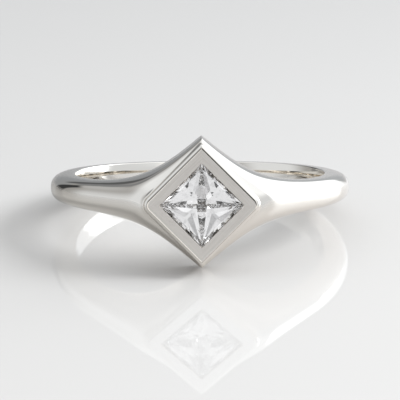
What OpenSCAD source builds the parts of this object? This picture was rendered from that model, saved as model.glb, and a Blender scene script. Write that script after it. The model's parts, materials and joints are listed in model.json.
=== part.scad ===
// Bezel set ring: a cast band whose shoulders flare into a square bezel, set point up, with a
// square brilliant (princess) stone. It lies on its side, on the bezel's lower point and the
// back of the band. Millimetres, Z up, the bezel faces -Y.

/* [Finger hole] */
// Inner diameter of the band
hole_d = 16.9; // [15.7:0.1:18.1]
// Bevel between the finger hole and the sides of the band
rim_bevel = 0.12; // [0.06:0.01:0.18]

/* [Band] */
// Radial thickness at the sides and the back
band_t = 1.76; // [1.6:0.02:1.9]
// Width of the band beside the finger, before the shoulders
side_w = 1.8; // [1.6:0.02:1.9]
// Width of the band at the back
back_w = 1.56; // [1.4:0.02:1.7]
// Width of the plain side face next to the finger hole
side_flat = 0.5; // [0.4:0.02:0.7]
// How square the outer curve of the band is (2 is an ellipse)
band_squareness = 2.5; // [2.2:0.1:3]

/* [Shoulders] */
// Half height of the flare where it runs into the bezel's points
flare_h = 4.3; // [4.2:0.02:4.4]
// Distance from the middle at which the flare's straight run would meet the band
flare_reach = 3.4; // [3.2:0.1:3.8]
// Length over which the flare softens into the band
flare_soft = 1.5; // [1.2:0.05:1.6]
// Angle from the front at which the shoulder leaves the round band
shoulder_angle = 50; // [46:1:54]
// How far the shoulders lie behind the bezel's face
step_back = 0.36; // [0.3:0.02:0.5]
// Length over which the shoulder rounds off behind the bezel's side corner
shoulder_soft = 0.25; // [0.15:0.05:0.35]
// How square the outer curve is in line with the bezel's points
head_squareness = 5.5; // [3:0.5:6]
// Angle from the front at which the outer curve is the band's again
head_angle = 22; // [16:1:28]

/* [Bezel] */
// Distance from the finger axis to the bezel's flat face
face_y = 11.45; // [11.4:0.02:11.7]
// Side of the square bezel at its walls, before its corners are rounded
wall_side = 5.68; // [5.6:0.02:5.76]
// Rounding of the bezel's left and right corners
side_corner_r = 0.67; // [0.55:0.01:0.8]
// Rounding of the bezel's top and bottom corners
point_corner_r = 0.18; // [0.1:0.01:0.3]
// Rounding of the edge between the flat face and the walls
edge_r = 0.27; // [0.2:0.01:0.32]
// Bevel along the inner edge of the face
lip_bevel = 0.04; // [0.02:0.01:0.08]
// How much further out the walls stand at the finger hole
wall_out = 0.1; // [0:0.02:0.2]
// Side of the square opening over the stone
opening_side = 3.8; // [3.74:0.02:3.84]
// Half diagonal of the window from the seat to the finger hole
window_half = 1; // [0.7:0.05:1.2]

/* [Stone] */
// Side of the square stone at its girdle
stone_side = 3.96; // [3.92:0.01:4]
// How far the table lies behind the bezel's face
table_recess = 0.1; // [0.06:0.01:0.14]
// Side of the table as a share of the stone's side
table_share = 0.84; // [0.78:0.01:0.86]
// Height of the crown, from girdle to table
crown_h = 0.22; // [0.2:0.01:0.26]
// Thickness of the girdle
girdle_t = 0.07; // [0.05:0.01:0.1]
// Depth of the pavilion, from girdle to culet
pavilion_h = 1.95; // [1.8:0.05:2.1]
// Clearance round the stone
stone_gap = 0.015; // [0.01:0.005:0.03]

/* [Hidden] */

WHITE_GOLD = [0.82, 0.81, 0.79];
CLEAR_STONE = [0.93, 0.94, 0.95];

// Finger hole, and the outer radius of the round part of the band
hole_r = hole_d / 2;
band_r = hole_r + band_t;
// Half diagonals of the bezel, the opening and the stone
wall_half = wall_side / sqrt(2);
opening_half = opening_side / sqrt(2);
stone_half = stone_side / sqrt(2);
// Levels behind the bezel's face
girdle_top = table_recess + crown_h;
girdle_bottom = girdle_top + girdle_t;
culet_level = girdle_bottom + pavilion_h;
// Where the band starts at the back half, and the angle past which the flat front has no say
side_turn = 90;
front_limit = 70;
// Steps of the band's outline round the ring: fine at the front, coarse behind it
front_turn = 40;
front_step = 2;
back_step = 5;
// Steps of the outer curve, and how far the loft reaches into the finger hole
curve_steps = 9;
hole_overlap = 0.1;
// Angles between the points of the bezel's rounded edge and of its corners
edge_step = 15;
corner_step = 9;
// Least rounding of a corner, where the rounded edge has used up the corner's own
least_corner_r = 0.05;
// Thickness of the slices that the bezel's body is drawn between
slice_t = 0.001;
// How steep the bevel round the opening is: its depth as a share of its width
lip_steepness = 1.5;
// Straight run of the flare: its rise for each millimetre towards the middle
flare_slope = (flare_h - side_w / 2) / soft_corner(flare_reach, flare_soft);
// Depth over which the pavilion's facets meet the middle of each side, as shares of the stone
// and of the pavilion's depth: [distance out, depth down]
pavilion_breaks = [[0.70, 0.36], [0.45, 0.62], [0.22, 0.84]];
// A point of the crown over the middle of each side: share out, and share of the crown's height
crown_break = [0.94, 0.45];

// The soft corner between a falling straight line and the level beyond it
function soft_corner(distance, soft) = soft * ln(1 + exp(distance / soft));
// The lesser of two lengths, with their meeting rounded over a length
function soft_min(a, b, soft) = a - soft_corner(a - b, soft);

// Half the band's width at an angle from the front: plain, with a slow taper towards the back,
// and with the flare, which depends on the distance out from the middle plane
function plain_half_w(turn) =
    let (share = turn < side_turn ? 0 : (1 - cos(2 * (turn - side_turn))) / 2)
    (side_w + (back_w - side_w) * share) / 2;
function flare(out) = flare_slope * soft_corner(flare_reach - out, flare_soft);
function half_w(turn, r) = plain_half_w(turn) + flare(turn < side_turn ? r * sin(turn) : r);

// Radius of the band's crown at an angle from the front: flat behind the bezel, then straight
// along the shoulder, then round
function front_r(turn) = (face_y - step_back) / cos(min(turn, front_limit));
function shoulder_r(turn) = band_r / cos(max(shoulder_angle - turn, 0));
function crown_r(turn) = soft_min(shoulder_r(turn), front_r(turn), shoulder_soft);

// How square the outer curve is at an angle: squarest in front, then the band's own
function squareness(turn) =
    let (share = (1 + cos(180 * min(turn / head_angle, 1))) / 2)
    band_squareness + (head_squareness - band_squareness) * share;

// One half of the band's section at an angle: [radius, height], from finger hole to crown
function half_section(turn) =
    let (start = hole_r + side_flat, depth = crown_r(turn) - start, power = 2 / squareness(turn))
    concat(
        [[hole_r - hole_overlap, half_w(turn, hole_r) - rim_bevel - hole_overlap]],
        [[hole_r + rim_bevel, half_w(turn, hole_r + rim_bevel)]],
        [for (k = [0:curve_steps])
            let (swing = 90 * (1 - k / curve_steps), r = start + depth * pow(cos(swing), power))
            [r, half_w(turn, r) * pow(sin(swing), power)]]
    );
// The whole section, from the upper rim over the crown to the lower rim
function section(turn) =
    let (half = half_section(turn), last = len(half) - 1)
    concat(half, [for (k = [last - 1:-1:0]) [half[k][0], -half[k][1]]]);

// Angles of the sections, once round
half_turns = concat([for (a = [0:front_step:front_turn - front_step]) a],
                    [for (a = [front_turn:back_step:180]) a]);
turns = concat(half_turns, [for (k = [len(half_turns) - 2:-1:1]) 360 - half_turns[k]]);

// A point of the section at an angle, in the ring's own frame
function ring_point(turn, p) = [p[0] * sin(turn), -p[0] * cos(turn), p[1]];
function from_front(turn) = turn > 180 ? 360 - turn : turn;

// Faces of a loft through closed loops of equal length that goes once round
function loft_faces(loops, points) =
    [for (i = [0:loops - 1], j = [0:points - 1])
        let (a = i * points, b = (i + 1) % loops * points, n = (j + 1) % points)
        each [[a + j, b + j, b + n], [a + j, b + n, a + n]]];

module band_loft() {
    loops = [for (turn = turns) [for (p = section(from_front(turn))) ring_point(turn, p)]];
    polyhedron(points = [for (loop = loops) each loop],
               faces = loft_faces(len(loops), len(loops[0])), convexity = 8);
}

// The bezel's outline: a square on its point with round corners, moved out by a distance, in the
// bezel's own frame (Z along -Y). Corners 0 and 2 are at the sides, and 1 and 3 are the points.
function corner_r(k, grow) =
    max((k % 2 == 0 ? side_corner_r : point_corner_r) + grow, least_corner_r);
function corner_middle(k, grow) = wall_half + (grow - corner_r(k, grow)) * sqrt(2);
function bezel_outline(grow) =
    [for (k = [0:3], swing = [-45:corner_step:45])
        let (a = 90 * k, r = corner_r(k, grow), out = corner_middle(k, grow))
        [out * cos(a) + r * cos(a + swing), out * sin(a) + r * sin(a + swing)]];

// The rounded edge, at an angle that runs from the flat face (0) to the walls (90)
function edge_level(angle) = edge_r * (1 - cos(angle));
function edge_grow(angle) = edge_r * (sin(angle) - 1);

module bezel_slice(level, grow) {
    translate([0, 0, -level - slice_t]) linear_extrude(slice_t) polygon(bezel_outline(grow));
}

// The bezel's outer body: flat face, rounded edge, and walls that spread a little to their root
module bezel_body() {
    hull() {
        for (angle = [0:edge_step:90]) bezel_slice(edge_level(angle), edge_grow(angle));
        bezel_slice(face_y - hole_r + hole_overlap, wall_out);
    }
}

// Moves the bezel's own frame, whose Z points out of the face, to the front of the ring
module at_front() {
    translate([0, -face_y, 0]) rotate([90, 0, 0]) children();
}

// A solid through squares that stand on their points. Each row is [level behind the face, half
// diagonal], from the front to the back.
module square_stack(rows) {
    corners = [[1, 0], [0, 1], [-1, 0], [0, -1]];
    last = 4 * (len(rows) - 1);
    polyhedron(
        points = [for (row = rows, p = corners) [p[0] * row[1], p[1] * row[1], -row[0]]],
        faces = concat(
            [[3, 2, 1, 0], [last, last + 1, last + 2, last + 3]],
            [for (a = [0:4:last - 4], k = [0:3]) [a + k, a + (k + 1) % 4, a + 4 + (k + 1) % 4, a + 4 + k]]),
        convexity = 4);
}

// The hollow that holds the stone: the bevelled opening, the pocket for the girdle under the lip,
// and the taper behind it that opens through a window into the finger hole
module seat() {
    clear = 0.2;
    lip_half = lip_bevel * sqrt(2);
    bevel_depth = lip_steepness * lip_bevel;
    pocket_half = stone_half + stone_gap * sqrt(2);
    under_crown = (1 - opening_side / stone_side) / (1 - crown_break[0]) * crown_break[1] * crown_h;
    square_stack([
        [-clear, opening_half + lip_half * (1 + clear / bevel_depth)],
        [bevel_depth, opening_half],
        [girdle_top - under_crown - 2 * stone_gap, opening_half],
        [girdle_top - stone_gap, pocket_half],
        [girdle_bottom + stone_gap, pocket_half],
        [face_y - hole_r + clear, window_half],
    ]);
}

// The stone, facet by facet. Each loop has a point for each corner or for the middle of each side.
module stone_body() {
    corners = [[1, 0], [0, 1], [-1, 0], [0, -1]];
    middles = [for (k = [0:3]) (corners[k] + corners[(k + 1) % 4]) / 2];
    points = concat(
        stone_loop(corners, table_share, table_recess),
        stone_loop(middles, crown_break[0], girdle_top - crown_h * crown_break[1]),
        stone_loop(corners, 1, girdle_top),
        stone_loop(corners, 1, girdle_bottom),
        [for (b = pavilion_breaks) each stone_loop(middles, b[0], girdle_bottom + pavilion_h * b[1])],
        [[0, 0, -culet_level]]);
    polyhedron(points = points, faces = concat([[3, 2, 1, 0]], [for (k = [0:3]) each stone_side_faces(k)]));
}
function stone_loop(loop, share, level) =
    [for (p = loop) [p[0] * stone_half * share, p[1] * stone_half * share, -level]];

// The number of a point of the stone: each loop before it has four. The loops are the table, the
// crown's middles, the girdle's two edges, and then the pavilion's breaks.
function stone_point(loop, k) = 4 * loop + k % 4;

// The facets between corner k and the next one: crown, girdle, then the pavilion's fans
function stone_side_faces(k) =
    let (
        breaks = len(pavilion_breaks), first_break = 4, star = stone_point(1, k),
        table = [stone_point(0, k), stone_point(0, k + 1)],
        upper = [stone_point(2, k), stone_point(2, k + 1)],
        lower = [stone_point(3, k), stone_point(3, k + 1)],
        culet = stone_point(first_break + breaks, 0),
        ridge = concat([for (b = [0:breaks - 1]) stone_point(first_break + b, k)], [culet])
    )
    concat(
        [[table[0], table[1], star], [table[0], star, upper[0]], [table[1], upper[1], star]],
        [[upper[0], star, upper[1]], [upper[0], upper[1], lower[1], lower[0]]],
        [[lower[0], lower[1], ridge[0]]],
        [for (b = [0:breaks - 1]) each [[lower[0], ridge[b], ridge[b + 1]],
                                        [lower[1], ridge[b + 1], ridge[b]]]]
    );

// How the ring lies: on the lower rim of its head, at the bezel's point, and on the band's back
rest_r = hole_r + rim_bevel;
rest_h = half_w(0, rest_r);
tilt = min([for (p = half_section(180)) if (p[0] > hole_r) atan2(rest_h - p[1], rest_r + p[0])]);
lift = rest_h * cos(tilt) - rest_r * sin(tilt);
// Its reach to the front, at the rounded edge of the lowest corner, and to the back
function low_corner(grow) = corner_middle(3, grow) + corner_r(3, grow);
front_reach = max([for (angle = [0:edge_step:90])
    (face_y - edge_level(angle)) * cos(tilt) + low_corner(edge_grow(angle)) * sin(tilt)]);
back_reach = max([for (p = half_section(180)) p[0] * cos(tilt) + p[1] * sin(tilt)]);

// Lays the ring on the ground, with the middle of its base at the origin
module at_rest() {
    translate([0, (front_reach - back_reach) / 2, lift]) rotate([-tilt, 0, 0]) children();
}

module band_and_bezel() {
    color(WHITE_GOLD) at_rest() difference() {
        union() {
            band_loft();
            at_front() bezel_body();
        }
        cylinder(h = 4 * flare_h, r = hole_r, center = true, $fn = 180);
        at_front() seat();
    }
}

module stone() {
    color(CLEAR_STONE) at_rest() at_front() stone_body();
}

band_and_bezel();
stone();
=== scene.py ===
"""The looks of a bezel set ring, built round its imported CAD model.

The metal is drawn again as one smooth skin from the same sizes as the CAD solid, and stands for
it. The stone keeps its CAD facets and gets its material. The rest is the floor, the light and the
camera.
"""

import json
import logging
import math
from collections.abc import Callable
from dataclasses import dataclass
from enum import IntEnum

import bmesh
import bpy
from mathutils import Matrix, Vector


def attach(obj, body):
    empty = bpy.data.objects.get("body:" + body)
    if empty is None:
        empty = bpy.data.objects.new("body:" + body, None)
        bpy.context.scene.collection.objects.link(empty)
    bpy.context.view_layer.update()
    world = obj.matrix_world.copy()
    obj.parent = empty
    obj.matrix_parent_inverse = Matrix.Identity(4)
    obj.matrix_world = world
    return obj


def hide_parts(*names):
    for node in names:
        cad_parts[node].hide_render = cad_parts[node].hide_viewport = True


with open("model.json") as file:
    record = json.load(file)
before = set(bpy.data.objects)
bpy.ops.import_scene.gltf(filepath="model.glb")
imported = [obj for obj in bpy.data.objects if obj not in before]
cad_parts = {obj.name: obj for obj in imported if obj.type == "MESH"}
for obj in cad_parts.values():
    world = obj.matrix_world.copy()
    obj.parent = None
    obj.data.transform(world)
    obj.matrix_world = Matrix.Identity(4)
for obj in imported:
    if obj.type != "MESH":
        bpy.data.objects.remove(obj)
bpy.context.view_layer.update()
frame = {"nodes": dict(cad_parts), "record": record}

MM = 0.001
HALVINGS = 40
MOST_BOUNCES = 32
MIRROR_BOUNCES = 24
STONE_BOUNCES = 24
LOG = logging.getLogger("ring")

# A Mix node's colour sockets share their names with its other sockets, so they go by place.
FACTOR, COLOR_A, COLOR_B, RESULT = 0, 6, 7, 2


class Finish(IntEnum):
    """The finishes of the metal, which are its material slots."""

    POLISHED = 0
    SATIN = 1
    # The seat round and under the stone, whose darker colour is painted shade.
    SEAT = 2


def mix(a: float, b: float, share: float) -> float:
    """Returns the value that is a share of the way from a to b."""
    return a + (b - a) * share


def soft_corner(distance: float, softness: float) -> float:
    """Returns a rising line that levels out at nought below it, with a soft corner."""
    return softness * math.log1p(math.exp(distance / softness))


@dataclass(frozen=True)
class BandShape:
    """The band and its shoulders, in millimetres, in the ring's own frame.

    The finger axis is Z, and the bezel faces -Y. A turn is an angle round that axis from the
    bezel, in degrees. A place is a point along the band's section: 0 at the crown, 1 where the
    outer curve ends, 2 where the side ends, 3 where the finger hole starts and 4 at its middle.

    ridge_r rounds the crease in line with the bezel's points. hole_dome is how far the finger
    hole's wall draws back at its rims, over dome_width from each rim.
    """

    hole_r: float
    thickness: float = 1.76
    side_width: float = 1.8
    back_width: float = 1.56
    side_flat: float = 0.5
    squareness: float = 2.5
    head_squareness: float = 5.5
    head_turn: float = 22.0
    rim_r: float = 0.12
    hole_dome: float = 0.07
    dome_width: float = 0.66
    flare_height: float = 4.3
    flare_reach: float = 3.4
    flare_softness: float = 1.5
    ridge_r: float = 0.05
    front_level: float = 11.09
    front_limit: float = 70.0
    shoulder_turn: float = 50.0
    shoulder_softness: float = 0.25

    @property
    def curve_r(self) -> float:
        """Radius where the outer curve of the section starts."""
        return self.hole_r + self.side_flat

    def half_width(self, turn: float, r: float) -> float:
        """Works out half the band's width, with its slow taper and its flare.

        Args:
            turn: angle from the bezel.
            r: distance from the finger axis.

        Returns:
            Half the width.
        """
        behind = max(turn - 90.0, 0.0)
        taper = (1.0 - math.cos(2.0 * math.radians(behind))) / 2.0
        plain = mix(self.side_width, self.back_width, taper) / 2.0
        out = r * math.sin(math.radians(turn)) if turn < 90.0 else r
        out = math.hypot(out, self.ridge_r)
        rise = self.flare_height - self.side_width / 2.0
        slope = rise / soft_corner(self.flare_reach, self.flare_softness)
        return plain + slope * soft_corner(self.flare_reach - out, self.flare_softness)

    def crown(self, turn: float) -> float:
        """Works out the crown's radius: flat in front, then straight, then round.

        Args:
            turn: angle from the bezel.

        Returns:
            The radius.
        """
        front = self.front_level / math.cos(math.radians(min(turn, self.front_limit)))
        ahead = max(self.shoulder_turn - turn, 0.0)
        shoulder = (self.hole_r + self.thickness) / math.cos(math.radians(ahead))
        return shoulder - soft_corner(shoulder - front, self.shoulder_softness)

    def power(self, turn: float) -> float:
        """Returns the power of the section's outer curve, which is squarest at the head."""
        share = (1.0 + math.cos(math.pi * min(turn / self.head_turn, 1.0))) / 2.0
        return mix(self.squareness, self.head_squareness, share)

    def at(self, turn: float, place: float) -> Vector:
        """Works out a point of the band's skin.

        Args:
            turn: angle from the bezel.
            place: place along the section.

        Returns:
            The point.
        """
        rim_start = self.hole_r + self.rim_r
        side = self.half_width(turn, rim_start)
        if place <= 1.0:
            swing = math.radians(90.0 * place)
            power = 2.0 / self.power(turn)
            r = self.curve_r + (self.crown(turn) - self.curve_r) * math.cos(swing) ** power
            h = self.half_width(turn, r) * math.sin(swing) ** power
        elif place <= 2.0:
            r = mix(self.curve_r, rim_start, place - 1.0)
            h = self.half_width(turn, r)
        elif place <= 3.0:
            swing = math.radians(90.0 * (place - 2.0))
            r = rim_start - (self.rim_r - self.hole_dome) * math.sin(swing)
            h = side - self.rim_r * (1.0 - math.cos(swing))
        else:
            h = (side - self.rim_r) * (4.0 - place)
            near_rim = max(1.0 - (side - self.rim_r - h) / self.dome_width, 0.0)
            r = self.hole_r + self.hole_dome * near_rim**2
        angle = math.radians(turn)
        return Vector((r * math.sin(angle), -r * math.cos(angle), h))

    def holds(self, p: Vector) -> bool:
        """Tells whether a point in front of the finger hole is inside the band.

        Args:
            p: the point, above the middle plane.

        Returns:
            True if it is inside.
        """
        r = math.hypot(p.x, p.y)
        turn = math.degrees(math.atan2(p.x, -p.y))
        out = max(r - self.curve_r, 0.0) / (self.crown(turn) - self.curve_r)
        up = p.z / self.half_width(turn, r)
        return out ** self.power(turn) + up ** self.power(turn) < 1.0

    def outer_place(self, p: Vector) -> Vector:
        """Finds where a point of the outer curve is.

        Args:
            p: the point.

        Returns:
            Its turn and its place, as a vector of two parts.
        """
        r = math.hypot(p.x, p.y)
        turn = math.degrees(math.atan2(p.x, -p.y))
        out = min(max(r - self.curve_r, 0.0) / (self.crown(turn) - self.curve_r), 1.0)
        return Vector((turn, math.degrees(math.acos(out ** (self.power(turn) / 2.0))) / 90.0))

    def hole_place(self, p: Vector) -> Vector:
        """Finds where a point of the finger hole's wall is.

        Args:
            p: the point.

        Returns:
            Its turn and its place, as a vector of two parts.
        """
        turn = math.degrees(math.atan2(p.x, -p.y))
        side = self.half_width(turn, self.hole_r + self.rim_r) - self.rim_r
        return Vector((turn, 4.0 - p.z / side))


@dataclass(frozen=True)
class BezelShape:
    """The square bezel on its point, in millimetres, in the ring's own frame.

    A level is a depth behind the face. A column is one line of the skin, from the finger hole
    through the seat, over the face and down the wall: column 0 runs through the upper point and
    the last one through the side corner.
    """

    face_level: float = 11.45
    wall_side: float = 5.68
    side_corner: float = 0.67
    point_corner: float = 0.18
    least_corner: float = 0.05
    edge_r: float = 0.27
    wall_out: float = 0.1
    root_level: float = 3.1
    fillet: float = 0.12
    opening_side: float = 3.8
    lip_bevel: float = 0.04
    lip_steepness: float = 1.5
    window_half: float = 1.0
    stone_side: float = 3.96
    stone_gap: float = 0.015
    girdle_top: float = 0.32
    girdle_bottom: float = 0.39
    under_crown: float = 0.067
    point_steps: int = 8
    side_steps: int = 9

    def outline(self, column: int, last: int, grow: float) -> tuple[float, float]:
        """Finds a column on the bezel's outline, seen from the front.

        Args:
            column: number of the column.
            last: number of the last column.
            grow: how far the outline stands outside the wall's own at the edge.

        Returns:
            The distances to the side and up from the middle of the face.
        """
        corner = (self.wall_side / 2.0 + grow) * math.sqrt(2.0)
        point_r = max(self.point_corner + grow, self.least_corner)
        side_r = self.side_corner + grow
        up = corner - point_r * math.sqrt(2.0)
        out = corner - side_r * math.sqrt(2.0)
        near_side = last - column
        if column < self.point_steps:
            swing = math.radians(45.0 * column / self.point_steps)
            return point_r * math.sin(swing), up + point_r * math.cos(swing)
        if near_side < self.side_steps:
            swing = math.radians(45.0 * near_side / self.side_steps)
            return out + side_r * math.cos(swing), side_r * math.sin(swing)
        share = (column - self.point_steps) / (last - self.point_steps - self.side_steps)
        diagonal = math.sqrt(0.5)
        x = mix(point_r * diagonal, out + side_r * diagonal, share)
        z = mix(up + point_r * diagonal, side_r * diagonal, share)
        return x, z

    def square(self, column: int, last: int, half: float) -> tuple[float, float]:
        """Finds a column on a sharp square, seen from the front.

        Args:
            column: number of the column.
            last: number of the last column.
            half: half the square's diagonal.

        Returns:
            The distances to the side and up from the middle of the face.
        """
        lean = [x - z for x, z in (self.outline(c, last, 0.0) for c in (0, column, last))]
        share = (lean[1] - lean[0]) / (lean[2] - lean[0])
        return half * share, half * (1.0 - share)

    def grow_at(self, level: float) -> float:
        """Works out how far the skin stands outside the wall's outline.

        Args:
            level: depth behind the face.

        Returns:
            The distance, which is below nought on the rounded edge.
        """
        if level < self.edge_r:
            return math.sqrt(self.edge_r**2 - (self.edge_r - level) ** 2) - self.edge_r
        return self.wall_out * (level - self.edge_r) / (self.root_level - self.edge_r)

    def level_at(self, way: float) -> float:
        """Works out the level of a place on the profile.

        Args:
            way: the place: 0 at the face, 1 where the rounded edge ends and 2 at the root.

        Returns:
            The level.
        """
        if way < 1.0:
            return self.edge_r * (1.0 - math.cos(math.radians(90.0 * way)))
        return mix(self.edge_r, self.root_level, way - 1.0)

    def way_at(self, level: float) -> float:
        """Works out the place on the profile at a level, as level_at does the other way.

        Args:
            level: depth behind the face.

        Returns:
            The place.
        """
        if level < self.edge_r:
            return math.degrees(math.acos(1.0 - level / self.edge_r)) / 90.0
        return 1.0 + (level - self.edge_r) / (self.root_level - self.edge_r)

    def point(self, flat: tuple[float, float], level: float) -> Vector:
        """Returns the point at a place seen from the front and a level behind the face."""
        return Vector((flat[0], level - self.face_level, flat[1]))

    def wall(self, column: int, last: int, level: float) -> Vector:
        """Returns the point of the edge or the wall on a column at a level."""
        return self.point(self.outline(column, last, self.grow_at(level)), level)


def halve(low: float, high: float, is_low: Callable[[float], bool]) -> float:
    """Finds where a test changes, by halving.

    Args:
        low: a value that passes the test.
        high: a value that doesn't.
        is_low: the test.

    Returns:
        The value where it changes.
    """
    for _ in range(HALVINGS):
        middle = (low + high) / 2.0
        if is_low(middle):
            low = middle
        else:
            high = middle
    return low


@dataclass
class BandAndBezel:
    """The cast metal of the ring: band, shoulders, bezel and seat in one closed skin.

    A quarter of the skin is drawn, over and to one side of the middle planes, and mirrored twice.
    to_row takes the ring's own frame, in millimetres, to the row frame. grain_shift keeps the
    grain of the face's four sides apart.
    """

    band: BandShape
    bezel: BezelShape
    to_row: Matrix
    name: str = "ring_metal"
    patch_turn: float = 42.0
    patch_steps: int = 42
    round_steps: int = 50
    curve_steps: int = 26
    rim_steps: int = 5
    hole_steps: int = 4
    shoulder_steps: int = 16
    fillet_steps: int = 7
    edge_steps: int = 14
    window_steps: int = 6
    crowding: float = 1.4
    face_shares: tuple[float, ...] = (0.03, 0.5, 0.97, 1.0)
    seat_shares: tuple[float, ...] = (0.33, 0.67, 1.0)
    nudge: float = 0.01
    window_clear: float = 0.2
    merge_reach: float = 2e-4
    sharp_angle: float = 30.0
    grain_shift: float = 20.0

    def __post_init__(self) -> None:
        """Starts the mesh, and sets the turns and places of its grid."""
        self.last = self.patch_steps + self.curve_steps
        self.bm = bmesh.new()
        self.places = self._places()
        self.turns = self._turns()

    def _turns(self) -> list[float]:
        """Lists the turns of the sections.

        Returns:
            The turns, closest together at the front, then in even steps to the back.
        """
        front = [self.patch_turn * (k / self.patch_steps) ** self.crowding
                 for k in range(self.patch_steps)]
        rest = [mix(self.patch_turn, 180.0, k / self.round_steps)
                for k in range(self.round_steps + 1)]
        return front + rest

    def _places(self) -> list[float]:
        """Lists the places along the section.

        Returns:
            The places, from the crown to the middle of the finger hole's wall.
        """
        curve = [k / self.curve_steps for k in range(self.curve_steps)]
        rim = [2.0 + k / self.rim_steps for k in range(self.rim_steps)]
        hole_steps = self.hole_steps + self.curve_steps
        hole = [3.0 + k / hole_steps for k in range(hole_steps + 1)]
        return curve + [1.0, 1.5] + rim + hole

    def _grid(self) -> tuple[list[bmesh.types.BMVert], list[bmesh.types.BMVert]]:
        """Draws the quarter as a grid and cuts the two patches out of it.

        Returns:
            The chains of vertices round the patch for the bezel and the patch for the window.
        """
        across, along = len(self.turns) - 1, len(self.places) - 1
        bmesh.ops.create_grid(self.bm, x_segments=across, y_segments=along, size=0.5)
        cells = {}
        for v in self.bm.verts:
            i, j = round((v.co.x + 0.5) * across), round((v.co.y + 0.5) * along)
            cells[i, j] = v
            v.co = self.band.at(self.turns[i], self.places[j])
        wide, high = self.patch_steps, self.curve_steps
        window = along - high
        bezel_chain = [cells[i, high] for i in range(wide + 1)]
        bezel_chain += [cells[wide, j] for j in range(high - 1, -1, -1)]
        window_chain = [cells[i, window] for i in range(wide + 1)]
        window_chain += [cells[wide, j] for j in range(window + 1, along + 1)]
        inside = [v for (i, j), v in cells.items() if i < wide and (j < high or j > window)]
        bmesh.ops.delete(self.bm, geom=inside, context="VERTS")
        return bezel_chain, window_chain

    def _extend(self, chain: list[bmesh.types.BMVert], points: list[Vector],
                finish: Finish) -> list[bmesh.types.BMVert]:
        """Extrudes a chain of vertices onto new points.

        Args:
            chain: the vertices at the open edge of the skin, in order.
            points: where the new vertices go, in the same order.
            finish: the finish of the new strip.

        Returns:
            The new chain.
        """
        edges = [self.bm.edges.get((a, b)) for a, b in zip(chain, chain[1:])]
        made = bmesh.ops.extrude_edge_only(self.bm, edges=edges)["geom"]
        new = {v for v in made if isinstance(v, bmesh.types.BMVert)}
        for face in made:
            if isinstance(face, bmesh.types.BMFace):
                face.material_index = finish
        grown = []
        for v, p in zip(chain, points):
            twin = next(e.other_vert(v) for e in v.link_edges if e.other_vert(v) in new)
            twin.co = p
            grown.append(twin)
        return grown

    def _foot(self, column: int, edge: Vector) -> tuple[Vector, Vector, float]:
        """Finds where a wall column meets the band.

        Args:
            column: number of the column.
            edge: turn and place where the column meets the grid.

        Returns:
            The meeting point, the turn and place of the fillet's outer end, and the level of the
            meeting point.
        """
        last, bezel = self.last, self.bezel
        level = halve(0.0, bezel.face_level - self.band.curve_r,
                      lambda t: not self.band.holds(bezel.wall(column, last, t)))
        meet = bezel.wall(column, last, level)
        start = self.band.outer_place(meet)
        share = halve(0.0, 1.0, lambda s: (self.band.at(*start.lerp(edge, s)) - meet).length
                      < bezel.fillet)
        return meet, start.lerp(edge, share), level

    def _bezel_strips(self, chain: list[bmesh.types.BMVert]) -> list[bmesh.types.BMVert]:
        """Draws the skin from the band's patch over the fillet and the wall to the face's edge.

        Args:
            chain: the vertices round the patch.

        Returns:
            The chain round the face.
        """
        band, bezel, last = self.band, self.bezel, self.last
        wide, high = self.patch_steps, self.curve_steps
        edges = [Vector((self.turns[min(c, wide)], self.places[min(high, last - c)]))
                 for c in range(last + 1)]
        feet = [self._foot(c, edges[c]) for c in range(last + 1)]
        for k in range(1, self.shoulder_steps + 1):
            share = 1.0 - (1.0 - k / self.shoulder_steps) ** self.crowding
            points = [band.at(*edge.lerp(foot[1], share)) for edge, foot in zip(edges, feet)]
            chain = self._extend(chain, points, Finish.POLISHED)
        tops = [foot[2] - bezel.fillet for foot in feet]
        for k in range(1, self.fillet_steps + 1):
            points = [self._fillet_point(c, edges[c], feet[c], tops[c], k / self.fillet_steps)
                      for c in range(last + 1)]
            chain = self._extend(chain, points, Finish.POLISHED)
        ways = [bezel.way_at(top) for top in tops]
        for k in range(1, self.edge_steps + 1):
            share = 1.0 - k / self.edge_steps
            points = [bezel.wall(c, last, bezel.level_at(ways[c] * share))
                      for c in range(last + 1)]
            chain = self._extend(chain, points, Finish.POLISHED)
        return chain

    def _fillet_point(self, column: int, edge: Vector, foot: tuple[Vector, Vector, float],
                      top: float, share: float) -> Vector:
        """Works out a point of the fillet between the band and the bezel's wall.

        Args:
            column: number of the column.
            edge: turn and place where the column meets the grid.
            foot: what _foot gives for the column.
            top: level of the fillet's end on the wall.
            share: share of the way from the band to the wall.

        Returns:
            The point, on a cubic curve that leaves both surfaces smoothly.
        """
        meet, start, _ = foot
        low = self.band.at(*start)
        high = self.bezel.wall(column, self.last, top)
        outward = (self.band.at(*start.lerp(edge, self.nudge)) - low).normalized()
        low_pull = -outward * 2.0 * (meet - low).length
        high_pull = 2.0 * (high - meet)
        s2, s3 = share**2, share**3
        return (low * (2 * s3 - 3 * s2 + 1) + low_pull * (s3 - 2 * s2 + share)
                + high * (3 * s2 - 2 * s3) + high_pull * (s3 - s2))

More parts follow.
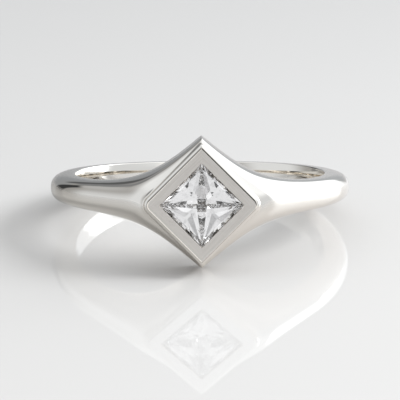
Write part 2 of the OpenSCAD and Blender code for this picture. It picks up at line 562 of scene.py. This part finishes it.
    def _seat_strips(self, chain: list[bmesh.types.BMVert]) -> list[bmesh.types.BMVert]:
        """Draws the face, its lip and the seat down to the window in the finger hole.

        Args:
            chain: the vertices round the face.

        Returns:
            The chain round the window.
        """
        bezel, last = self.bezel, self.last
        columns = range(last + 1)
        opening = bezel.opening_side / math.sqrt(2.0)
        lip = opening + bezel.lip_bevel * math.sqrt(2.0)
        outer = [v.co.copy() for v in chain]
        inner = [bezel.point(bezel.square(c, last, lip), 0.0) for c in columns]
        for share in self.face_shares:
            points = [a.lerp(b, share) for a, b in zip(outer, inner)]
            chain = self._extend(chain, points, Finish.SATIN)
        pocket = (bezel.stone_side / 2.0 + bezel.stone_gap) * math.sqrt(2.0)
        rows = [
            (bezel.lip_bevel * bezel.lip_steepness, opening, Finish.POLISHED),
            (bezel.girdle_top - bezel.under_crown - 2.0 * bezel.stone_gap, opening, Finish.SEAT),
            (bezel.girdle_top - bezel.stone_gap, pocket, Finish.SEAT),
            (bezel.girdle_bottom + bezel.stone_gap, pocket, Finish.SEAT),
        ]
        for level, half, finish in rows:
            points = [bezel.point(bezel.square(c, last, half), level) for c in columns]
            chain = self._extend(chain, points, finish)
        top = [v.co.copy() for v in chain]
        root = bezel.face_level - self.band.hole_r + self.window_clear
        deep = [bezel.point(bezel.square(c, last, bezel.window_half), root) for c in columns]
        low = [a.lerp(b, halve(0.0, 1.0, lambda s: math.hypot(*a.lerp(b, s).xy)
                               > self.band.hole_r)) for a, b in zip(top, deep)]
        for share in self.seat_shares:
            points = [a.lerp(b, share) for a, b in zip(top, low)]
            chain = self._extend(chain, points, Finish.SEAT)
        return chain

    def _window_strips(self, chain: list[bmesh.types.BMVert],
                       target: list[bmesh.types.BMVert]) -> None:
        """Draws the finger hole's wall from the window's edge to the grid.

        Args:
            chain: the vertices round the window.
            target: the grid's vertices round the patch.
        """
        start = [self.band.hole_place(v.co) for v in chain]
        end = [self.band.hole_place(v.co) for v in target]
        for k in range(1, self.window_steps + 1):
            share = k / self.window_steps
            points = [self.band.at(*a.lerp(b, share)) for a, b in zip(start, end)]
            chain = self._extend(chain, points, Finish.POLISHED)

    def _mirror(self, axis: str) -> None:
        """Mirrors the whole skin over a middle plane."""
        bmesh.ops.mirror(self.bm, geom=self.bm.verts[:] + self.bm.edges[:] + self.bm.faces[:],
                         matrix=Matrix.Identity(4), merge_dist=self.merge_reach, axis=axis)

    def _grain_map(self) -> None:
        """Lays the satin's grain along each side of the face, in millimetres."""
        layer = self.bm.loops.layers.uv.new("grain")
        for face in self.bm.faces:
            middle = face.calc_center_median()
            side = 2 * (middle.x > 0.0) + (middle.z > 0.0)
            for loop in face.loops:
                x, z = abs(loop.vert.co.x), abs(loop.vert.co.z)
                along, across = (x - z) * math.sqrt(0.5), (x + z) * math.sqrt(0.5)
                loop[layer].uv = (along + self.grain_shift * side, across)

    def build(self) -> bpy.types.Object:
        """Draws the skin and puts it in the row frame.

        Returns:
            The object, which stands for the CAD node.
        """
        chain, window = self._grid()
        chain = self._bezel_strips(chain)
        chain = self._seat_strips(chain)
        self._window_strips(chain, window)
        self._mirror("X")
        self._mirror("Z")
        bmesh.ops.remove_doubles(self.bm, verts=self.bm.verts[:], dist=self.merge_reach)
        bmesh.ops.recalc_face_normals(self.bm, faces=self.bm.faces[:])
        self._grain_map()
        for face in self.bm.faces:
            face.smooth = True
        for edge in self.bm.edges:
            edge.smooth = edge.calc_face_angle(0.0) < math.radians(self.sharp_angle)
        bmesh.ops.transform(self.bm, matrix=self.to_row, verts=self.bm.verts[:])
        mesh = bpy.data.meshes.new(self.name)
        self.bm.to_mesh(mesh)
        self.bm.free()
        ring = bpy.data.objects.new(self.name, mesh)
        bpy.context.scene.collection.objects.link(ring)
        return ring

    def dress(self, ring: bpy.types.Object) -> None:
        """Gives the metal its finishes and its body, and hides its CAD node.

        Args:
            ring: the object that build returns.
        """
        for finish in (PolishedWhiteGold(), SatinWhiteGold(), CutAndShadedWhiteGold()):
            ring.data.materials.append(finish.make())
        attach(ring, "root")
        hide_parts("band_and_bezel")


@dataclass(frozen=True)
class SquareStone:
    """The square stone in the bezel, which keeps the flat facets of its CAD node."""

    node: str = "stone"

    def dress(self) -> bpy.types.Object:
        """Gives the stone its finish.

        Returns:
            The stone's object.
        """
        stone = frame["nodes"][self.node]
        stone.data.materials.clear()
        stone.data.materials.append(ClearStone().make())
        return stone


def linear(color: str) -> tuple[float, float, float, float]:
    """Turns an sRGB colour to a linear one, by the straight foot and the power of its curve.

    Args:
        color: the colour in hex.

    Returns:
        Red, green, blue and full alpha.
    """
    parts = [int(color[k:k + 2], 16) / 255.0 for k in (1, 3, 5)]
    low = [p / 12.92 for p in parts]
    high = [((p + 0.055) / 1.055) ** 2.4 for p in parts]
    r, g, b = (lo if p <= 0.04045 else hi for p, lo, hi in zip(parts, low, high))
    return r, g, b, 1.0


def add_node(tree: bpy.types.NodeTree, kind: str, settings: dict | None = None,
             inputs: dict | None = None) -> bpy.types.Node:
    """Adds a node to a tree.

    Args:
        tree: the node tree.
        kind: the node's type.
        settings: values of the node's own properties, by name.
        inputs: a value or an output socket for each input, by name or number.

    Returns:
        The node.
    """
    node = tree.nodes.new(kind)
    for name, value in (settings or {}).items():
        setattr(node, name, value)
    for name, value in (inputs or {}).items():
        if isinstance(value, bpy.types.NodeSocket):
            tree.links.new(value, node.inputs[name])
        else:
            node.inputs[name].default_value = value
    return node


def new_material(name: str) -> tuple[bpy.types.Material, bpy.types.Node]:
    """Makes a new material.

    Args:
        name: the material's name.

    Returns:
        The material and its Principled shader.
    """
    material = bpy.data.materials.new(name)
    material.use_nodes = True
    return material, material.node_tree.nodes["Principled BSDF"]


@dataclass(frozen=True)
class PolishedWhiteGold:
    """White gold off the buffing wheel: a mirror with a slight warmth and a faint haze.

    haze is its roughness, which varies in patches haze_size millimetres wide.
    """

    name: str = "polished_white_gold"
    color: str = "#ECE7DF"
    haze: tuple[float, float] = (0.02, 0.05)
    haze_size: float = 1.2

    def make(self) -> bpy.types.Material:
        """Makes the material.

        Returns:
            The material, with its haze in soft patches.
        """
        material, shader = new_material(self.name)
        tree = material.node_tree
        coords = add_node(tree, "ShaderNodeTexCoord").outputs["Object"]
        noise = add_node(tree, "ShaderNodeTexNoise", None,
                         {"Vector": coords, "Scale": 1.0 / (self.haze_size * MM)})
        rough = add_node(tree, "ShaderNodeMapRange", None,
                         {"Value": noise.outputs["Fac"], "To Min": self.haze[0],
                          "To Max": self.haze[1]})
        shader.inputs["Base Color"].default_value = linear(self.color)
        shader.inputs["Metallic"].default_value = 1.0
        tree.links.new(rough.outputs["Result"], shader.inputs["Roughness"])
        return material


@dataclass(frozen=True)
class CutAndShadedWhiteGold(PolishedWhiteGold):
    """White gold cut by the setter round the stone: painted darker as shade, less of a mirror."""

    name: str = "cut_white_gold"
    # Darker than the polished metal: painted shade in the seat under the stone; the roughness is
    # the cut finish.
    color: str = "#B9B3AB"
    haze: tuple[float, float] = (0.12, 0.22)
    haze_size: float = 0.3


@dataclass(frozen=True)
class SatinWhiteGold:
    """White gold rubbed with a fine pad along each side of the face: soft, with a fine grain.

    The pad's real scratches are about 0.02 mm wide, too fine to show. They are drawn coarser, at
    grain_width millimetres.
    """

    colors: tuple[str, str] = ("#DED9D3", "#F8F5F0")
    roughness: tuple[float, float] = (0.3, 0.42)
    grain_width: float = 0.08
    grain_length: float = 1.8
    grain_depth: float = 0.002
    grain_detail: float = 3.0

    def make(self) -> bpy.types.Material:
        """Makes the material.

        Returns:
            The material, whose grain follows the piece's grain map.
        """
        material, shader = new_material("satin_white_gold")
        tree = material.node_tree
        grain = add_node(tree, "ShaderNodeUVMap", {"uv_map": "grain"}).outputs["UV"]
        stretch = (1.0 / self.grain_length, 1.0 / self.grain_width, 1.0)
        mapping = add_node(tree, "ShaderNodeMapping", None, {"Vector": grain, "Scale": stretch})
        noise = add_node(tree, "ShaderNodeTexNoise", None,
                         {"Vector": mapping.outputs["Vector"], "Scale": 1.0,
                          "Detail": self.grain_detail})
        rough = add_node(tree, "ShaderNodeMapRange", None,
                         {"Value": noise.outputs["Fac"], "To Min": self.roughness[0],
                          "To Max": self.roughness[1]})
        bump = add_node(tree, "ShaderNodeBump", None,
                        {"Height": noise.outputs["Fac"], "Distance": self.grain_depth * MM})
        tint = add_node(tree, "ShaderNodeMix", {"data_type": "RGBA"},
                        {FACTOR: noise.outputs["Fac"], COLOR_A: linear(self.colors[0]),
                         COLOR_B: linear(self.colors[1])})
        tree.links.new(tint.outputs[RESULT], shader.inputs["Base Color"])
        shader.inputs["Metallic"].default_value = 1.0
        tree.links.new(rough.outputs["Result"], shader.inputs["Roughness"])
        tree.links.new(bump.outputs["Normal"], shader.inputs["Normal"])
        return material


@dataclass(frozen=True)
class ClearStone:
    """A clear, colourless, polished diamond: hard facets, strong refraction, no colour.

    polish is its roughness, which varies over polish_size millimetres, a small facet's width.
    """

    color: str = "#FDFDFE"
    ior: float = 2.417
    polish: tuple[float, float] = (0.015, 0.035)
    polish_size: float = 0.35

    def make(self) -> bpy.types.Material:
        """Makes the material.

        Returns:
            The material, with the slight unevenness of its polish.
        """
        material, shader = new_material("clear_stone")
        tree = material.node_tree
        coords = add_node(tree, "ShaderNodeTexCoord").outputs["Object"]
        noise = add_node(tree, "ShaderNodeTexNoise", None,
                         {"Vector": coords, "Scale": 1.0 / (self.polish_size * MM)})
        rough = add_node(tree, "ShaderNodeMapRange", None,
                         {"Value": noise.outputs["Fac"], "To Min": self.polish[0],
                          "To Max": self.polish[1]})
        shader.inputs["Base Color"].default_value = linear(self.color)
        shader.inputs["IOR"].default_value = self.ior
        shader.inputs["Transmission Weight"].default_value = 1.0
        tree.links.new(rough.outputs["Result"], shader.inputs["Roughness"])
        return material


@dataclass(frozen=True)
class GlossyFloor:
    """A pale, glossy floor that mirrors the ring faintly.

    The metal sees it darker than the camera does, and darkest on the left: painted shade.
    Under the finger hole the metal sees it lighter: painted light. The reaches are in millimetres
    from the origin, and half_size is in metres.
    """

    color: str = "#D3CFCA"
    # Colours that the metal sees in the floor, darker than its own and darkest on the left: painted
    # shade.
    mirrored: tuple[str, str] = ("#ABA8A4", "#C3BEBA")
    painted_shade_reach: tuple[float, float] = (-5.0, 3.0)
    # A lighter colour that the metal sees under the finger hole: painted light.
    painted_light_under_hole: str = "#E6E3DF"
    painted_light_reach: tuple[float, float] = (5.0, 7.5)
    roughness: float = 0.02
    half_size: float = 2.0

    def make(self) -> None:
        """Makes the floor, which isn't part of the ring."""
        bm = bmesh.new()
        bmesh.ops.create_grid(bm, x_segments=1, y_segments=1, size=self.half_size)
        mesh = bpy.data.meshes.new("floor")
        bm.to_mesh(mesh)
        bm.free()
        floor = bpy.data.objects.new("floor", mesh)
        bpy.context.scene.collection.objects.link(floor)
        material, shader = new_material("glossy_floor")
        tree = material.node_tree
        coords = add_node(tree, "ShaderNodeTexCoord").outputs["Object"]
        across = add_node(tree, "ShaderNodeSeparateXYZ", None, {0: coords}).outputs["X"]
        right = add_node(tree, "ShaderNodeMapRange", {"interpolation_type": "SMOOTHSTEP"},
                         {"Value": across, "From Min": self.painted_shade_reach[0] * MM,
                          "From Max": self.painted_shade_reach[1] * MM}).outputs["Result"]
        painted_shade_across = add_node(tree, "ShaderNodeMix", {"data_type": "RGBA"},
                            {FACTOR: right, COLOR_A: linear(self.mirrored[0]),
                             COLOR_B: linear(self.mirrored[1])}).outputs[RESULT]
        away = add_node(tree, "ShaderNodeVectorMath", {"operation": "LENGTH"}, {0: coords})
        out = add_node(tree, "ShaderNodeMapRange", {"interpolation_type": "SMOOTHSTEP"},
                       {"Value": away.outputs["Value"], "From Min": self.painted_light_reach[0] * MM,
                        "From Max": self.painted_light_reach[1] * MM}).outputs["Result"]
        # Painted shade across the floor, with painted light under the finger hole, for mirror rays
        # only.
        mirrored = add_node(tree, "ShaderNodeMix", {"data_type": "RGBA"},
                            {FACTOR: out, COLOR_A: linear(self.painted_light_under_hole),
                             COLOR_B: painted_shade_across}).outputs[RESULT]
        # Glossy rays see the painted shade and light; camera rays see the floor's own colour.
        seen = add_node(tree, "ShaderNodeLightPath").outputs["Is Glossy Ray"]
        color = add_node(tree, "ShaderNodeMix", {"data_type": "RGBA"},
                         {FACTOR: seen, COLOR_A: linear(self.color), COLOR_B: mirrored})
        tree.links.new(color.outputs[RESULT], shader.inputs["Base Color"])
        shader.inputs["Roughness"].default_value = self.roughness
        mesh.materials.append(material)


@dataclass(frozen=True)
class SoftLight:
    """An area light, placed from the ring's middle, in millimetres.

    It gives light and shadow, but neither the camera nor a mirror sees it.
    """

    name: str
    place: tuple[float, float, float]
    size: float
    power: float
    color: str = "#FFFFFF"

    def make(self, middle: Vector) -> None:
        """Makes the light, aimed at the ring's middle.

        Args:
            middle: the ring's middle, in metres.
        """
        data = bpy.data.lights.new(self.name, "AREA")
        data.shape = "DISK"
        data.size = self.size * MM
        data.energy = self.power
        data.color = linear(self.color)[:3]
        light = bpy.data.objects.new(self.name, data)
        light.location = middle + Vector(self.place) * MM
        light.rotation_mode = "QUATERNION"
        light.rotation_quaternion = (-Vector(self.place)).to_track_quat("-Z", "Y")
        light.visible_camera = False
        light.visible_glossy = False
        bpy.context.scene.collection.objects.link(light)


@dataclass(frozen=True)
class PhotoCamera:
    """A camera that sees the ring as the photograph does.

    Its values are in degrees, millimetres and pixels of a 400 pixel frame. The elevation is above
    the floor, where the ring leans as it rests.
    """

    azimuth: float = -0.634
    elevation: float = 17.43
    distance: float = 176.74
    focal_pixels: float = 2577.8
    frame_pixels: float = 400.0
    below_aim: float = 14.1
    sensor: float = 36.0
    nearest: float = 10.0
    furthest: float = 10000.0

    def make(self, middle: Vector) -> None:
        """Makes the camera.

        Args:
            middle: the ring's middle, in metres, which the frame shows above its own middle.
        """
        back = self._direction(self.elevation)
        drop = math.degrees(math.atan(self.below_aim / self.focal_pixels))
        data = bpy.data.cameras.new("camera")
        data.sensor_width = self.sensor
        data.lens = self.sensor * self.focal_pixels / self.frame_pixels
        data.clip_start, data.clip_end = self.nearest * MM, self.furthest * MM
        camera = bpy.data.objects.new("camera", data)
        camera.location = middle + back * self.distance * MM
        camera.rotation_mode = "QUATERNION"
        aim = -self._direction(self.elevation + drop)
        camera.rotation_quaternion = aim.to_track_quat("-Z", "Y")
        bpy.context.scene.collection.objects.link(camera)
        bpy.context.scene.camera = camera

    def _direction(self, elevation: float) -> Vector:
        """Returns the direction from the ring to a camera at that elevation."""
        a, e = math.radians(self.azimuth), math.radians(elevation)
        return Vector((math.sin(a) * math.cos(e), -math.cos(a) * math.cos(e), math.sin(e)))


@dataclass(frozen=True)
class Panel:
    """A soft-edged card, flag or light in the studio, in degrees as the ring sees it.

    Azimuth 0 is towards the camera, and 90 to its right. The edge is the width of its soft border,
    and the level its brightness.
    """

    azimuth: float
    elevation: float
    width: float
    height: float
    edge: float
    level: float
    color: str = "#F4F9FF"


@dataclass(frozen=True)
class Studio:
    """The light round the ring: an even wall, and panels laid over it in order.

    The metal sees one set of panels. The light that comes out of the stone sees a calmer one.
    """

    backdrop: str = "#E8E8EA"
    wall_level: float = 0.36
    panels: tuple[Panel, ...] = (
        Panel(0.0, 90.0, 400.0, 110.0, 34.0, 1.14),
        Panel(-78.0, 5.0, 64.0, 90.0, 34.0, 0.92),
        Panel(60.0, 0.0, 90.0, 60.0, 30.0, 0.85),
        Panel(-25.0, 34.0, 22.0, 40.0, 10.0, 0.2),
        Panel(75.0, 50.0, 130.0, 50.0, 24.0, 1.3),
        Panel(126.0, 10.0, 56.0, 80.0, 16.0, 1.5),
        Panel(118.0, 20.0, 34.0, 46.0, 10.0, 3.5),
        Panel(9.0, 0.0, 56.0, 60.0, 24.0, 1.26, "#FFFFFF"),
        Panel(12.0, 15.0, 28.0, 24.0, 8.0, 0.02),
        Panel(-18.0, 20.0, 18.0, 14.0, 8.0, 0.08),
        Panel(155.0, 17.0, 32.0, 24.0, 8.0, 1.5),
        Panel(-167.0, -2.0, 46.0, 40.0, 6.0, 0.34),
        Panel(-164.0, 17.5, 12.0, 11.0, 5.0, 0.12),
        Panel(-154.0, 25.0, 14.0, 8.0, 5.0, 0.26),
        Panel(-139.0, 2.0, 16.0, 46.0, 5.0, 0.05),
        Panel(169.0, -5.0, 24.0, 26.0, 5.0, 0.52),
    )
    stone_wall_level: float = 0.87
    stone_panels: tuple[Panel, ...] = (
        Panel(0.0, 75.0, 400.0, 70.0, 40.0, 1.0, "#FFFFFF"),
        Panel(70.0, 10.0, 60.0, 60.0, 20.0, 1.1, "#FFFFFF"),
        Panel(-70.0, 10.0, 40.0, 60.0, 20.0, 0.9, "#FFFFFF"),
        Panel(20.0, 45.0, 16.0, 16.0, 6.0, 1.8, "#FFFFFF"),
        Panel(-40.0, 20.0, 20.0, 30.0, 4.0, 0.0),
        Panel(40.0, 20.0, 20.0, 30.0, 4.0, 0.0),
        Panel(0.0, 13.0, 14.0, 12.0, 4.0, 0.05),
    )

    def make(self) -> None:
        """Makes the world that lights the ring."""
        world = bpy.data.worlds.new("studio")
        bpy.context.scene.world = world
        world.use_nodes = True
        tree = world.node_tree
        ray = add_node(tree, "ShaderNodeTexCoord").outputs["Generated"]
        axes = add_node(tree, "ShaderNodeSeparateXYZ", None, {0: ray}).outputs
        front = add_node(tree, "ShaderNodeMath", {"operation": "MULTIPLY"},
                         {0: axes["Y"], 1: -1.0}).outputs[0]
        azimuth = add_node(tree, "ShaderNodeMath", {"operation": "ARCTAN2"},
                           {0: axes["X"], 1: front}).outputs[0]
        elevation = add_node(tree, "ShaderNodeMath", {"operation": "ARCSINE"},
                             {0: axes["Z"]}).outputs[0]
        way = (azimuth, elevation)
        for_metal = self._lay(tree, way, self.wall_level, self.panels)
        for_stone = self._lay(tree, way, self.stone_wall_level, self.stone_panels)
        path = add_node(tree, "ShaderNodeLightPath").outputs
        around = add_node(tree, "ShaderNodeMix", {"data_type": "RGBA"},
                          {FACTOR: path["Is Transmission Ray"], COLOR_A: for_metal,
                           COLOR_B: for_stone}).outputs[RESULT]
        color = add_node(tree, "ShaderNodeMix", {"data_type": "RGBA"},
                         {FACTOR: path["Is Camera Ray"], COLOR_A: around,
                          COLOR_B: linear(self.backdrop)})
        tree.links.new(color.outputs[RESULT], tree.nodes["Background"].inputs["Color"])

    def _lay(self, tree: bpy.types.NodeTree, way: tuple[bpy.types.NodeSocket, ...], level: float,
             panels: tuple[Panel, ...]) -> bpy.types.NodeSocket:
        """Lays panels over an even wall.

        Args:
            tree: the world's node tree.
            way: the ray's azimuth and elevation, in radians.
            level: the wall's level.
            panels: the panels, in the order in which they are laid.

        Returns:
            The light from the wall and its panels.
        """
        wall = [level] * 3 + [1.0]
        for panel in panels:
            mask = add_node(tree, "ShaderNodeMath", {"operation": "MULTIPLY"},
                            {0: self._side(tree, way[0], panel, False),
                             1: self._side(tree, way[1], panel, True)}).outputs[0]
            light = [c * panel.level for c in linear(panel.color)[:3]] + [1.0]
            wall = add_node(tree, "ShaderNodeMix", {"data_type": "RGBA"},
                            {FACTOR: mask, COLOR_A: wall, COLOR_B: light}).outputs[RESULT]
        return wall

    def _side(self, tree: bpy.types.NodeTree, angle: bpy.types.NodeSocket, panel: Panel,
              upright: bool) -> bpy.types.NodeSocket:
        """Works out how much of a panel is at an angle.

        Args:
            tree: the world's node tree.
            angle: the ray's azimuth or elevation, in radians.
            panel: the panel.
            upright: whether the angle is the elevation.

        Returns:
            The share, from 1 on the panel to 0 beyond its soft edge.
        """
        middle = panel.elevation if upright else panel.azimuth
        reach = (panel.height if upright else panel.width) / 2.0
        turned = add_node(tree, "ShaderNodeMath", {"operation": "SUBTRACT"},
                          {0: angle, 1: math.radians(middle)}).outputs[0]
        wrapped = add_node(tree, "ShaderNodeMath", {"operation": "WRAP"},
                           {0: turned, 1: math.pi, 2: -math.pi}).outputs[0]
        away = add_node(tree, "ShaderNodeMath", {"operation": "ABSOLUTE"},
                        {0: wrapped}).outputs[0]
        return add_node(tree, "ShaderNodeMapRange", {"interpolation_type": "SMOOTHSTEP"},
                        {"Value": away, "From Min": math.radians(reach - panel.edge / 2.0),
                         "From Max": math.radians(reach + panel.edge / 2.0),
                         "To Min": 1.0, "To Max": 0.0}).outputs["Result"]


def main() -> None:
    """Builds the ring's looks and the studio round it."""
    logging.basicConfig(level=logging.INFO, format="%(message)s")
    hole = next(m for m in frame["record"]["mounts"] if m["name"] == "finger_hole")
    middle, axis = Vector(hole["pos_m"]), Vector(hole["axis"])
    tilt = Matrix.Rotation(-math.atan2(axis.y, axis.z), 4, "X")
    to_row = Matrix.Translation(middle) @ tilt @ Matrix.Scale(MM, 4)

    metal = BandAndBezel(BandShape(hole_r=hole["dims"]["r_mm"]), BezelShape(), to_row)
    ring = metal.build()
    metal.dress(ring)
    LOG.info("ring metal: %d faces", len(ring.data.polygons))
    stone = SquareStone().dress()
    LOG.info("stone: %d faces", len(stone.data.polygons))

    GlossyFloor().make()
    Studio().make()
    SoftLight("key", place=(200.0, -10.0, 140.0), size=120.0, power=0.5,
              color="#F4F9FF").make(middle)
    PhotoCamera().make(middle)
    scene = bpy.context.scene
    scene.view_settings.view_transform = "Standard"
    scene.cycles.max_bounces = MOST_BOUNCES
    scene.cycles.glossy_bounces = MIRROR_BOUNCES
    scene.cycles.transmission_bounces = STONE_BOUNCES


if __name__ == "__main__":
    main()
